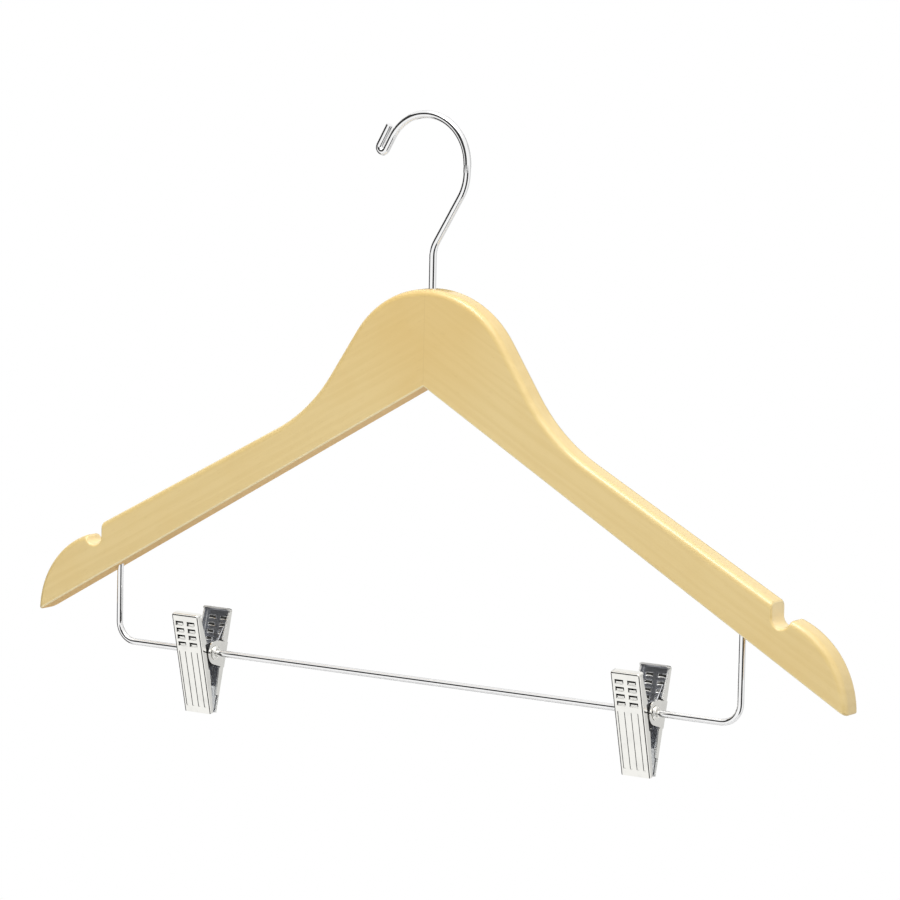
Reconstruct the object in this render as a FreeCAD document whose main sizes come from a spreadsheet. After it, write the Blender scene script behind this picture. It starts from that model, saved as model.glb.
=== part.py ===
import FreeCAD
import Part
import Sketcher
import math
import os

# A flat wooden skirt hanger: two glued arms, a swivelling wire hook, and a wire bar with two sprung clips.
# Millimetres, +Z up, +X to the right, the front face towards -Y.
# The origin is on the hook's swivel axis, at the inside of the hook's bow, where a rail carries it.

Vector = FreeCAD.Vector
NEAR = 1e-4  # how near a point counts as on a face
LEAST_CUT = 1e-6  # cubic millimetres that a cut must take away
GAP_STEPS = 12  # points per half turn on which a coil's gap is measured

SIZES = [
    # the wooden arms
    ("half_span", 217.5, "centre line to the point of an arm"),
    ("wood_thick", 12, "thickness of the wood"),
    ("edge_round", 3, "round-over along the upper edges of the wood"),
    ("notch_round", 1.2, "round-over along the rims of a strap notch"),
    ("under_round", 0.8, "round-over along the lower edges of the wood"),
    ("crown_drop", 74.9, "inside of the bow to the top of the crown"),
    ("crown_depth", 43.3, "top of the crown to the inner corner of the V"),
    ("crown_radius", 47, "round of the crown"),
    ("crown_shift", 1.4, "swivel axis to the middle of the crown's round, to the right"),
    ("flank_angle", 56.6, "slope of the crown's straight flank"),
    ("shoulder_radius", 80.5, "hollow between the flank and the arm"),
    ("top_angle", 27.9, "slope of the arm's upper edge"),
    ("under_angle", 29.55, "slope of the arm's lower edge"),
    ("arm_width", 21.1, "width of the arm square to its lower edge, at the notch"),
    ("notch_inset", 32.8, "point of an arm to the middle of its strap notch"),
    ("notch_radius", 4.4, "round bed of a strap notch"),
    ("lip_drop", 6.6, "upper edge at a strap notch's inner wall to the notch's lip"),
    # the hook
    ("hook_wire", 3.4, "diameter of the hook's wire"),
    ("bow_radius", 21.4, "centre line of the bow"),
    ("bow_offset", 4.3, "bow's centre to the left of the swivel axis"),
    ("bow_rise", 3.3, "straight upright right side of the bow"),
    ("neck_angle", 31, "lean of the hook's straight neck from upright"),
    ("neck_bend", 12, "bend between the shank and the neck, at the wire's centre"),
    ("tail_angle", 29.4, "lean of the hook's straight tail from upright"),
    ("tail_length", 6.6, "straight tail below the bow"),
    ("hairpin_gap", 0.6, "gap between the tail and its bent-back end"),
    ("return_length", 10.4, "straight length of the bent-back end"),
    ("shank_depth", 16, "top of the crown to the seat of the washer"),
    ("shank_clearance", 0.08, "running gap round the shank"),
    ("head_radius", 3.1, "upset head at the foot of the shank"),
    ("head_thick", 2.4, "thickness of the upset head"),
    ("washer_radius", 3.6, "swivel washer"),
    ("washer_thick", 0.8, "thickness of the swivel washer"),
    ("swivel_gap", 0.1, "gap above, below and round the washer"),
    ("head_room", 1, "space below the head"),
    # the dowels across the centre joint
    ("dowel_radius", 2.5, "cross dowels"),
    ("dowel_length", 24, "length of a cross dowel"),
    ("dowel_drop", 28, "top of the crown to the upper dowel"),
    ("dowel_pitch", 8, "upper dowel to lower dowel"),
    ("glue_gap", 0.05, "glue line round a dowel or a leg"),
    # the wire bar
    ("bar_wire", 3, "diameter of the bar's wire"),
    ("left_leg_inset", 44.7, "point of the left arm to the leg of the bar in it"),
    ("right_leg_inset", 54.2, "point of the right arm to the leg of the bar in it"),
    ("bar_drop", 133.3, "inner corner of the V to the bar"),
    ("bar_bend", 9, "bend between the bar and a leg, at the wire's centre"),
    ("leg_seat", 13, "depth of a leg in the wood"),
    # the clips
    ("left_clip_inset", 48.1, "left leg of the bar to the left clip"),
    ("right_clip_inset", 50.1, "right leg of the bar to the right clip"),
    ("clip_width", 15, "width of a jaw"),
    ("sheet_thick", 0.8, "thickness of the jaws' sheet"),
    ("plate_stand", 9.4, "pivot to the outer face of a jaw's plate"),
    ("plate_rise", 21.4, "plate above the pivot"),
    ("plate_fall", 27.2, "plate below the pivot"),
    ("clip_lean", 13.7, "lean of a closed jaw from upright"),
    ("lip_depth", 3.6, "folded lip at the top of a jaw"),
    ("flange_top", 2.6, "side flange below the lip"),
    ("flange_high", 4.6, "side flange above the ear"),
    ("flange_low", 4, "side flange below the ear"),
    ("flange_stop", 8, "foot of the plate to the end of a back jaw's flange"),
    ("tip_gap", 0.5, "flange's tip to the middle of the closed clip"),
    ("bend_round", 1.1, "outer round of the folds"),
    ("ear_radius", 5.5, "round ear at the pivot"),
    ("ear_root", 6, "half height of an ear at its flange"),
    ("ear_gap", 0.6, "round ear to the edge of the other jaw's flange"),
    ("ear_shift", 0.5, "ear's step in or out of its flange"),
    ("rib_count", 4, "ribs on a plate"),
    ("rib_pitch", 3.4, "rib to rib"),
    ("rib_width", 1.6, "width of a rib"),
    ("rib_height", 0.4, "height of a rib"),
    ("rib_start", 17.8, "top of the plate to the upper end of a rib"),
    ("rib_stop", 2.8, "foot of the plate to the lower end of a rib"),
    ("louvre_rows", 4, "rows of grip louvres"),
    ("louvre_pitch", 3.4, "row to row"),
    ("louvre_start", 4, "top of the plate to the first row"),
    ("louvre_column", 3.2, "middle of the plate to a column of louvres"),
    ("louvre_width", 4.4, "width of a louvre"),
    ("louvre_slot", 0.9, "height of a louvre's slot"),
    ("louvre_hood", 1.5, "height of the sloping hood below a slot"),
    ("louvre_proud", 0.5, "how far a hood stands out"),
    ("pad_height", 11.4, "height of a grip pad"),
    ("pad_lift", 0.6, "foot of the plate to the foot of a grip pad"),
    ("pad_gap", 0.3, "gap between the closed pads"),
    ("pad_side", 0.3, "pad to the flange beside it"),
    ("eyelet_wall", 0.5, "wall of the pivot eyelet"),
    ("eyelet_flare", 1.2, "flared rim beyond the eyelet's tube"),
    ("eyelet_rim", 0.6, "thickness of the flared rim"),
    ("run_clearance", 0.08, "running gap on the bar and in the ears"),
    ("side_clearance", 0.15, "gap beside an ear"),
    ("spring_wire", 1, "diameter of the spring's wire"),
    ("spring_radius", 3.4, "centre line of the spring's coil"),
    ("spring_turns", 4, "whole turns of the spring"),
    ("spring_pitch", 1.7, "turn to turn"),
    ("spring_reach", 13, "pivot to the end of a spring leg, along the plate"),
    ("spring_gap", 0.3, "spring leg to the plate it pushes"),
]

doc = FreeCAD.newDocument("skirt_hanger")
sheet = doc.addObject("Spreadsheet::Sheet", "sizes")
for row, (alias, size, meaning) in enumerate(SIZES, start=1):
    sheet.set("A%d" % row, meaning)
    sheet.set("B%d" % row, str(size))
    sheet.setAlias("B%d" % row, alias)
doc.recompute()

# Heights and places that several pieces share, as formulas on the sheet.
BOW_Z = "-sqrt((sizes.bow_radius - sizes.hook_wire / 2)^2 - sizes.bow_offset^2)"
CROWN_Z = "-sizes.crown_drop"
APEX_Z = "-(sizes.crown_drop + sizes.crown_depth)"
BAR_Z = "-(sizes.crown_drop + sizes.crown_depth + sizes.bar_drop)"
SEAT_Z = "-(sizes.crown_drop + sizes.shank_depth)"
HEAD_Z = f"({SEAT_Z} - sizes.washer_thick - 2 * sizes.swivel_gap)"
NOTCH_AT = "(sizes.half_span - sizes.notch_inset)"
NOTCH_X = f"({NOTCH_AT} - sizes.notch_radius)"
NOTCH_TOP_Z = f"({APEX_Z} - {NOTCH_X} * tan(sizes.under_angle) + sizes.arm_width / cos(sizes.under_angle))"
LIP_X = f"({NOTCH_AT} + sizes.notch_radius)"
LIP_Z = f"({NOTCH_TOP_Z} - sizes.lip_drop)"
TIP_Z = f"({APEX_Z} - sizes.half_span * tan(sizes.under_angle))"
LEG_X = {
    "left": "(sizes.half_span - sizes.left_leg_inset)",
    "right": "(sizes.half_span - sizes.right_leg_inset)",
}
LEG_TOP_Z = {
    hand: f"({APEX_Z} - {across} * tan(sizes.under_angle) + sizes.leg_seat)"
    for hand, across in LEG_X.items()
}
HOLE_RADIUS = "(sizes.bar_wire / 2 + sizes.glue_gap)"
EYELET_BORE = "(sizes.bar_wire / 2 + sizes.run_clearance)"
EYELET_RADIUS = "(sizes.bar_wire / 2 + sizes.run_clearance + sizes.eyelet_wall)"
PLATE_IN = "(sizes.plate_stand - sizes.sheet_thick)"
CLIP_X = {
    "left": f"(sizes.left_clip_inset - {LEG_X['left']})",
    "right": f"({LEG_X['right']} - sizes.right_clip_inset)",
}


def value(formula):
    """The number that a formula on the sheet gives."""
    return float(sheet.evalExpression(formula))


def new_body(label):
    """A body of its own for one piece."""
    body = doc.addObject("PartDesign::Body", label)
    body.Label = label
    return body


def new_sketch(body, role, name, offset=None):
    """A sketch on one of the body's own origin planes, moved along the plane's normal by a formula."""
    plane = [feature for feature in body.Origin.OriginFeatures if feature.Role == role][0]
    sketch = body.newObject("Sketcher::SketchObject", f"{body.Name}_{name}")
    sketch.AttachmentSupport = [(plane, "")]
    sketch.MapMode = "FlatFace"
    if offset:
        sketch.AttachmentOffset = FreeCAD.Placement(Vector(0, 0, value(offset)), FreeCAD.Rotation())
        sketch.setExpression("AttachmentOffset.Base.z", offset)
    return sketch


def pin_point(sketch, geometry, end, x, y):
    """Hold one end of a line or arc at a place given by two formulas."""
    for kind, axis, formula in (("DistanceX", -2, x), ("DistanceY", -1, y)):
        if formula == "0":
            sketch.addConstraint(Sketcher.Constraint("PointOnObject", geometry, end, axis))
        else:
            constraint = Sketcher.Constraint(kind, -1, 1, geometry, end, value(formula))
            sketch.setExpression("Constraints[%d]" % sketch.addConstraint(constraint), formula)


def size_radius(sketch, geometry, formula):
    """Hold the radius of an arc or circle at a formula."""
    constraint = Sketcher.Constraint("Radius", geometry, value(formula))
    sketch.setExpression("Constraints[%d]" % sketch.addConstraint(constraint), formula)


def arc_between(start, end, radius, left):
    """The arc of under half a turn from start to end, its centre left or right of that way."""
    chord = end - start
    half = chord.Length / 2
    across = Vector(-chord.y, chord.x, 0).normalize()
    reach = math.sqrt(max(radius * radius - half * half, 0))
    centre = (start + end) / 2 + across * (reach if left else -reach)
    first, last = (start, end) if left else (end, start)
    angles = [math.atan2(point.y - centre.y, point.x - centre.x) for point in (first, last)]
    return Part.ArcOfCircle(Part.Circle(centre, Vector(0, 0, 1), radius), *angles)


def draw(sketch, points, arcs=None, closed=True):
    """Draw lines through places given by formulas; arcs gives some a radius and whether they bend left."""
    arcs = arcs or {}
    places = [Vector(value(x), value(y), 0) for x, y in points]
    count = len(points) if closed else len(points) - 1
    ends = []
    for i in range(count):
        start, end = places[i], places[(i + 1) % len(places)]
        if i in arcs:
            radius, left = arcs[i]
            geometry = sketch.addGeometry(arc_between(start, end, value(radius), left))
            ends.append((geometry, 1, 2) if left else (geometry, 2, 1))
        else:
            ends.append((sketch.addGeometry(Part.LineSegment(start, end)), 1, 2))
    for i in range(count if closed else count - 1):
        geometry, _, last = ends[i]
        following, first, _ = ends[(i + 1) % count]
        sketch.addConstraint(Sketcher.Constraint("Coincident", geometry, last, following, first))
    for i, (x, y) in enumerate(points):
        geometry, end = ends[i][:2] if i < count else (ends[-1][0], ends[-1][2])
        pin_point(sketch, geometry, end, x, y)
    for i, (radius, _) in arcs.items():
        size_radius(sketch, ends[i][0], radius)


def draw_circle(sketch, x, y, radius):
    """Draw a circle whose place and radius are formulas."""
    centre = Vector(value(x), value(y), 0)
    geometry = sketch.addGeometry(Part.Circle(centre, Vector(0, 0, 1), value(radius)))
    pin_point(sketch, geometry, 3, x, y)
    size_radius(sketch, geometry, radius)


def pad(body, sketch, length, symmetric=False, turned=False):
    """Grow a sketch into a solid."""
    feature = body.newObject("PartDesign::Pad", f"{sketch.Name}_pad")
    feature.Profile = sketch
    feature.setExpression("Length", length)
    feature.SideType = "Symmetric" if symmetric else "One side"
    feature.Reversed = turned
    doc.recompute()
    return feature


def pocket(body, sketch, length, symmetric=False, turned=False):
    """Cut a sketch out of the body, and make sure that it took something away."""
    before = body.Shape.Volume
    feature = body.newObject("PartDesign::Pocket", f"{sketch.Name}_pocket")
    feature.Profile = sketch
    feature.setExpression("Length", length)
    feature.SideType = "Symmetric" if symmetric else "One side"
    feature.Reversed = turned
    doc.recompute()
    if body.Shape.Volume > before - LEAST_CUT:
        raise RuntimeError(f"{feature.Name} cuts nothing")
    return feature


def turn_cut(body, sketch, axis):
    """Cut a sketch out all the way round one of its axes."""
    feature = body.newObject("PartDesign::Groove", f"{sketch.Name}_groove")
    feature.Profile = sketch
    feature.ReferenceAxis = (sketch, [axis])
    feature.Angle = 360
    doc.recompute()
    return feature


def turn(body, sketch, axis):
    """Turn a sketch into a solid of revolution round one of its axes."""
    feature = body.newObject("PartDesign::Revolution", f"{sketch.Name}_turned")
    feature.Profile = sketch
    feature.ReferenceAxis = (sketch, [axis])
    feature.Angle = 360
    doc.recompute()
    return feature


def sweep(body, profile, path):
    """Draw a round wire's section along a path sketch."""
    feature = body.newObject("PartDesign::AdditivePipe", f"{path.Name}_wire")
    feature.Profile = profile
    feature.Spine = (path, [f"Edge{i + 1}" for i in range(path.GeometryCount)])
    doc.recompute()
    return feature


def round_edges(body, base, radius, wanted):
    """Fillet the edges of the body's last feature that a test picks by their middle point."""
    names = []
    for i, edge in enumerate(base.Shape.Edges, start=1):
        if wanted(edge.valueAt((edge.FirstParameter + edge.LastParameter) / 2)):
            names.append(f"Edge{i}")
    feature = body.newObject("PartDesign::Fillet", f"{base.Name}_round")
    feature.Base = (base, names)
    feature.setExpression("Radius", radius)
    doc.recompute()
    return feature


def repeat(body, features, sketch, axis, length, count):
    """Repeat features in a row along one of their sketch's axes."""
    pattern = body.newObject("PartDesign::LinearPattern", f"{features[0].Name}_row")
    pattern.Originals = features
    pattern.Direction = (sketch, [axis])
    pattern.setExpression("Length", length)
    pattern.setExpression("Occurrences", count)
    body.Tip = pattern
    doc.recompute()
    return pattern


def place(piece, x="0", z="0", lean=None):
    """Set a piece on its place, leaning about the X axis, from formulas."""
    turned = FreeCAD.Rotation(Vector(1, 0, 0), value(lean) if lean else 0)
    piece.Placement = FreeCAD.Placement(Vector(value(x), 0, value(z)), turned)
    piece.setExpression("Placement.Base.x", x)
    piece.setExpression("Placement.Base.z", z)
    if lean:
        piece.setExpression("Placement.Rotation.Angle", lean)


def make_arm(hand):
    """One wooden arm, with its half of the crown, its notch and the holes for hook, dowels and bar."""
    body = new_body(f"{hand}_arm")
    right = hand == "right"
    x = (lambda formula: formula) if right else (lambda formula: f"-({formula})")
    crown_centre = "(-sizes.crown_drop - sizes.crown_radius)"
    shift = "sizes.crown_shift" if right else "-sizes.crown_shift"
    flank = (f"(sizes.crown_radius * sin(sizes.flank_angle) + {shift})",
             f"({crown_centre} + sizes.crown_radius * cos(sizes.flank_angle))")
    # where the flank's line and the arm's upper line would meet, and how far from there the hollow starts
    meet_x = (f"({flank[1]} - {NOTCH_TOP_Z} + {flank[0]} * tan(sizes.flank_angle)"
              f" - {NOTCH_X} * tan(sizes.top_angle)) / (tan(sizes.flank_angle) - tan(sizes.top_angle))")
    meet_z = f"({NOTCH_TOP_Z} + ({NOTCH_X} - {meet_x}) * tan(sizes.top_angle))"
    run = "(sizes.shoulder_radius * tan((sizes.flank_angle - sizes.top_angle) / 2))"
    # the end is an arc from the notch's lip, which is upright where it reaches the point
    out = f"(sizes.half_span - {LIP_X})"
    down = f"({LIP_Z} - {TIP_Z})"
    end_radius = f"({out}^2 + {down}^2) / 2 / {out}"
    points = [
        ("0", f"{crown_centre} + sqrt(sizes.crown_radius^2 - sizes.crown_shift^2)"),
        (x(flank[0]), flank[1]),
        (x(f"{meet_x} - {run} * cos(sizes.flank_angle)"), f"{meet_z} + {run} * sin(sizes.flank_angle)"),
        (x(f"{meet_x} + {run} * cos(sizes.top_angle)"), f"{meet_z} - {run} * sin(sizes.top_angle)"),
        (x(NOTCH_X), NOTCH_TOP_Z),
        (x(NOTCH_X), LIP_Z),
        (x(NOTCH_AT), f"{LIP_Z} - sizes.notch_radius"),
        (x(LIP_X), LIP_Z),
        (x("sizes.half_span"), TIP_Z),
        ("0", APEX_Z),
    ]
    arcs = {
        0: ("sizes.crown_radius", not right),
        2: ("sizes.shoulder_radius", right),
        5: ("sizes.notch_radius", right),
        6: ("sizes.notch_radius", right),
        7: (end_radius, not right),
    }
    outline = new_sketch(body, "XZ_Plane", "outline")
    draw(outline, points, arcs)
    blank = pad(body, outline, "sizes.wood_thick", symmetric=True)
    face = value("sizes.wood_thick") / 2
    apex = value(APEX_Z)
    slope = value("tan(sizes.under_angle)")
    notch_from = value(NOTCH_X)
    notch_to = value(LIP_X)

    def on_rim(middle):
        """An edge round the front or back face, apart from the joint."""
        return abs(abs(middle.y) - face) < NEAR and abs(middle.x) > NEAR

    def below(middle):
        """A rim along the lower edge."""
        return on_rim(middle) and abs(middle.z - apex + abs(middle.x) * slope) < NEAR

    def in_notch(middle):
        """A rim of the strap notch."""
        inside = notch_from - NEAR < abs(middle.x) < notch_to + NEAR
        return on_rim(middle) and inside and not below(middle)

    def above(middle):
        """A rim along the upper edge, from the crown to the point."""
        return on_rim(middle) and not below(middle) and not in_notch(middle)

    blank = round_edges(body, blank, "sizes.edge_round", above)
    blank = round_edges(body, blank, "sizes.notch_round", in_notch)
    round_edges(body, blank, "sizes.under_round", below)
    bore = new_sketch(body, "XZ_Plane", "hook_bore")
    shank = x("sizes.hook_wire / 2 + sizes.shank_clearance")
    room = x("sizes.washer_radius + sizes.swivel_gap")
    floor = f"{HEAD_Z} - sizes.head_thick - sizes.head_room"
    above_crown = f"{CROWN_Z} + sizes.hook_wire"
    points = [
        ("0", above_crown),
        (shank, above_crown),
        (shank, SEAT_Z),
        (room, SEAT_Z),
        (room, floor),
        ("0", floor),
    ]
    draw(bore, points)
    turn_cut(body, bore, "V_Axis")
    dowels = new_sketch(body, "YZ_Plane", "dowel_holes")
    for drop in ("sizes.dowel_drop", "(sizes.dowel_drop + sizes.dowel_pitch)"):
        draw_circle(dowels, "0", f"{CROWN_Z} - {drop}", "sizes.dowel_radius + sizes.glue_gap")
    pocket(body, dowels, "sizes.dowel_length + 2 * sizes.glue_gap", symmetric=True)
    hole = new_sketch(body, "XY_Plane", "leg_hole", f"{LEG_TOP_Z[hand]} + sizes.glue_gap")
    draw_circle(hole, x(LEG_X[hand]), "0", HOLE_RADIUS)
    pocket(body, hole, "2 * sizes.leg_seat")
    return body


def make_hook():
    """The hook: shank with its upset head, leaning neck, bow, straight tail and bent-back end."""
    body = new_body("hook")
    path = new_sketch(body, "XZ_Plane", "path")
    neck_x = "(-sizes.bow_offset + sizes.bow_radius * cos(sizes.neck_angle))"
    neck_z = f"({BOW_Z} - sizes.bow_rise - sizes.bow_radius * sin(sizes.neck_angle))"
    knee_z = f"({neck_z} - {neck_x} / tan(sizes.neck_angle))"
    run = "(sizes.neck_bend * tan(sizes.neck_angle / 2))"
    tail_x = "(-sizes.bow_offset - sizes.bow_radius * cos(sizes.tail_angle))"
    tail_z = f"({BOW_Z} + sizes.bow_radius * sin(sizes.tail_angle))"
    foot_x = f"({tail_x} - sizes.tail_length * sin(sizes.tail_angle))"
    foot_z = f"({tail_z} - sizes.tail_length * cos(sizes.tail_angle))"
    turn_radius = "((sizes.hook_wire + sizes.hairpin_gap) / 2)"
    side_x = f"{turn_radius} * cos(sizes.tail_angle)"
    side_z = f"{turn_radius} * sin(sizes.tail_angle)"
    low_x = f"{turn_radius} * sin(sizes.tail_angle)"
    low_z = f"{turn_radius} * cos(sizes.tail_angle)"
    points = [
        ("0", HEAD_Z),
        ("0", f"{knee_z} - {run}"),
        (f"{run} * sin(sizes.neck_angle)", f"{knee_z} + {run} * cos(sizes.neck_angle)"),
        (neck_x, neck_z),
        ("-sizes.bow_offset + sizes.bow_radius", f"{BOW_Z} - sizes.bow_rise"),
        ("-sizes.bow_offset + sizes.bow_radius", BOW_Z),
        ("-sizes.bow_offset", f"{BOW_Z} + sizes.bow_radius"),
        (tail_x, tail_z),
        (foot_x, foot_z),
        (f"{foot_x} - {side_x} - {low_x}", f"{foot_z} + {side_z} - {low_z}"),
        (f"{foot_x} - 2 * {side_x}", f"{foot_z} + 2 * {side_z}"),
        (f"{foot_x} - 2 * {side_x} + sizes.return_length * sin(sizes.tail_angle)",
         f"{foot_z} + 2 * {side_z} + sizes.return_length * cos(sizes.tail_angle)"),
    ]
    bow = ("sizes.bow_radius", True)
    hairpin = (turn_radius, False)
    arcs = {1: ("sizes.neck_bend", False), 3: bow, 5: bow, 6: bow, 8: hairpin, 9: hairpin}
    draw(path, points, arcs, closed=False)
    section = new_sketch(body, "XY_Plane", "section", HEAD_Z)
    draw_circle(section, "0", "0", "sizes.hook_wire / 2")
    sweep(body, section, path)
    head = new_sketch(body, "XZ_Plane", "head")
    low = f"{HEAD_Z} - sizes.head_thick"
    draw(head, [("0", HEAD_Z), ("sizes.head_radius", HEAD_Z), ("sizes.head_radius", low), ("0", low)])
    turn(body, head, "V_Axis")
    return body


def make_washer():
    """The washer that the hook's head swivels on."""
    outer = doc.addObject("Part::Cylinder", "washer_disc")
    outer.setExpression("Radius", "sizes.washer_radius")
    inner = doc.addObject("Part::Cylinder", "washer_bore")
    inner.setExpression("Radius", "sizes.hook_wire / 2 + sizes.shank_clearance")
    for disc in (outer, inner):
        disc.setExpression("Height", "sizes.washer_thick")
    washer = doc.addObject("Part::Cut", "hook_washer")
    washer.Label = "hook_washer"
    washer.Base = outer
    washer.Tool = inner
    place(washer, z=f"{HEAD_Z} + sizes.swivel_gap")
    return washer


def make_dowel(label, drop):
    """One round dowel across the centre joint."""
    dowel = doc.addObject("Part::Cylinder", label)
    dowel.Label = label
    dowel.setExpression("Radius", "sizes.dowel_radius")
    dowel.setExpression("Height", "sizes.dowel_length")
    z = f"{CROWN_Z} - {drop}"
    start = Vector(-value("sizes.dowel_length") / 2, 0, value(z))
    dowel.Placement = FreeCAD.Placement(start, FreeCAD.Rotation(Vector(0, 1, 0), 90))
    dowel.setExpression("Placement.Base.x", "-sizes.dowel_length / 2")
    dowel.setExpression("Placement.Base.z", z)
    return dowel


def make_bar():
    """The wire bar with its two legs."""
    body = new_body("clip_bar")
    path = new_sketch(body, "XZ_Plane", "path")
    left, right = f"-{LEG_X['left']}", LEG_X["right"]
    bend_z = f"{BAR_Z} + sizes.bar_bend"
    points = [
        (left, LEG_TOP_Z["left"]),
        (left, bend_z),
        (f"{left} + sizes.bar_bend", BAR_Z),
        (f"{right} - sizes.bar_bend", BAR_Z),
        (right, bend_z),
        (right, LEG_TOP_Z["right"]),
    ]
    draw(path, points, {1: ("sizes.bar_bend", True), 3: ("sizes.bar_bend", True)}, closed=False)
    section = new_sketch(body, "XY_Plane", "section", LEG_TOP_Z["left"])
    draw_circle(section, left, "0", "sizes.bar_wire / 2")
    sweep(body, section, path)
    return body


def make_jaw(label, clip_at, side):
    """One pressed jaw with plate, lip, flanges, ears, ribs and louvres; side is -1 in front, 1 behind."""
    body = new_body(label)
    y = (lambda formula: formula) if side > 0 else (lambda formula: f"-({formula})")
    block = new_sketch(body, "YZ_Plane", "block")
    below_lip = "sizes.plate_rise - sizes.sheet_thick"
    ear_edge = "sizes.ear_radius + sizes.ear_gap"
    low_edge = "(sizes.plate_stand - sizes.flange_low)"
    tip = "(sizes.plate_fall * tan(sizes.clip_lean) + sizes.tip_gap)"
    points = [
        (y("sizes.plate_stand"), "-sizes.plate_fall"),
        (y("sizes.plate_stand"), "sizes.plate_rise"),
        (y("sizes.plate_stand - sizes.lip_depth"), "sizes.plate_rise"),
        (y("sizes.plate_stand - sizes.lip_depth"), below_lip),
        (y("sizes.plate_stand - sizes.flange_top"), below_lip),
        (y("sizes.plate_stand - sizes.flange_high"), "sizes.ear_root + sizes.ear_gap"),
        (y(ear_edge), "sizes.ear_root"),
        (y(ear_edge), "-sizes.ear_root"),
        (y(low_edge), "-sizes.ear_root - sizes.ear_gap"),
    ]
    if side < 0:
        points.append((y(tip), "-sizes.plate_fall"))
    else:
        # a back jaw's flange stops above its foot, where the pad shows
        stop = "(sizes.plate_fall - sizes.flange_stop)"
        start = "(sizes.ear_root + sizes.ear_gap)"
        share = f"({stop} - {start}) / (sizes.plate_fall - {start})"
        points.append((y(f"{low_edge} + ({tip} - {low_edge}) * {share}"), f"-{stop}"))
        points.append((y(PLATE_IN), f"-{stop}"))
        points.append((y(PLATE_IN), "-sizes.plate_fall"))
    draw(block, points)
    blank = pad(body, block, "sizes.clip_width", symmetric=True)
    half = value("sizes.clip_width") / 2
    stand = value("sizes.plate_stand")
    rise = value("sizes.plate_rise")

    def on_fold(middle):
        """The folds: both long corners of the plate, and the three corners of the lip."""
        beside = abs(abs(middle.x) - half) < NEAR
        outside = abs(abs(middle.y) - stand) < NEAR
        above = abs(middle.z - rise) < NEAR
        return beside + outside + above >= 2

    round_edges(body, blank, "sizes.bend_round", on_fold)
    inside = new_sketch(body, "YZ_Plane", "inside")
    ceiling = "sizes.plate_rise - sizes.sheet_thick"
    below = "-sizes.plate_fall - sizes.sheet_thick"
    points = [
        (y(PLATE_IN), below),
        (y(PLATE_IN), ceiling),
        (y("-sizes.sheet_thick"), ceiling),
        (y("-sizes.sheet_thick"), below),
    ]
    draw(inside, points)
    pocket(body, inside, "sizes.clip_width - 2 * sizes.sheet_thick", symmetric=True)
    add_ears(body, y, side)
    face = "-sizes.plate_stand" if side > 0 else "sizes.plate_stand"
    add_ribs(body, face, side)
    add_louvres(body, y, face, side)
    place(body, clip_at, BAR_Z, "sizes.clip_lean" if side < 0 else "-sizes.clip_lean")
    return body


def add_ears(body, y, side):
    """The two round ears at the pivot and their hole; a front jaw's ears step in, a back jaw's step out."""
    step = "sizes.ear_shift" if side > 0 else "-sizes.ear_shift"
    far = f"sizes.clip_width / 2 + {step}"
    near = f"sizes.clip_width / 2 - sizes.sheet_thick + {step}"
    root = y("sizes.plate_stand - sizes.bend_round")
    for hand, start in (("right", near), ("left", f"-({far})")):
        ear = new_sketch(body, "YZ_Plane", f"{hand}_ear", start)
        points = [
            (root, "sizes.ear_root"),
            ("0", "sizes.ear_radius"),
            (y("-sizes.ear_radius"), "0"),
            ("0", "-sizes.ear_radius"),
            (root, "-sizes.ear_root"),
        ]
        draw(ear, points, {1: ("sizes.ear_radius", side > 0), 2: ("sizes.ear_radius", side > 0)})
        pad(body, ear, "sizes.sheet_thick")
    pivot = new_sketch(body, "YZ_Plane", "pivot_hole")
    draw_circle(pivot, "0", "0", f"{EYELET_RADIUS} + sizes.run_clearance")
    pocket(body, pivot, "2 * sizes.clip_width", symmetric=True)


def add_ribs(body, face, side):
    """The row of upright ribs with round ends on the lower part of a plate."""
    rib = new_sketch(body, "XZ_Plane", "rib", face)
    middle = "-(sizes.rib_count - 1) * sizes.rib_pitch / 2"
    half = "sizes.rib_width / 2"
    top = "sizes.plate_rise - sizes.rib_start - sizes.rib_width / 2"
    low = "-sizes.plate_fall + sizes.rib_stop + sizes.rib_width / 2"
    points = [
        (f"{middle} - {half}", top),
        (f"{middle} - {half}", low),
        (middle, f"{low} - {half}"),
        (f"{middle} + {half}", low),
        (f"{middle} + {half}", top),
        (middle, f"{top} + {half}"),
    ]
    draw(rib, points, {i: (half, True) for i in (1, 2, 4, 5)})
    bead = pad(body, rib, "sizes.rib_height", turned=side > 0)
    repeat(body, [bead], rib, "H_Axis", "(sizes.rib_count - 1) * sizes.rib_pitch", "sizes.rib_count")


def add_louvres(body, y, face, side):
    """Two columns of grip louvres on the upper part of a plate: a slot with a raised hood below it."""
    low = "sizes.plate_rise - sizes.louvre_start - (sizes.louvre_rows - 1) * sizes.louvre_pitch"
    foot = f"{low} - sizes.louvre_hood"
    top = f"{low} + sizes.louvre_slot"
    for hand, column in (("left", "-sizes.louvre_column"), ("right", "sizes.louvre_column")):
        ends = (f"{column} - sizes.louvre_width / 2", f"{column} + sizes.louvre_width / 2")
        hood = new_sketch(body, "YZ_Plane", f"{hand}_hood", ends[0])
        draw(hood, [(y(PLATE_IN), low), (y("sizes.plate_stand + sizes.louvre_proud"), low),
                    (y("sizes.plate_stand"), foot), (y(PLATE_IN), foot)])
        raised = pad(body, hood, "sizes.louvre_width")
        slot = new_sketch(body, "XZ_Plane", f"{hand}_slot", face)
        draw(slot, [(ends[0], top), (ends[0], low), (ends[1], low), (ends[1], top)])
        cut = pocket(body, slot, "2 * sizes.sheet_thick", turned=side > 0)
        rows = "(sizes.louvre_rows - 1) * sizes.louvre_pitch"
        repeat(body, [raised, cut], hood, "V_Axis", rows, "sizes.louvre_rows")


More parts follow.
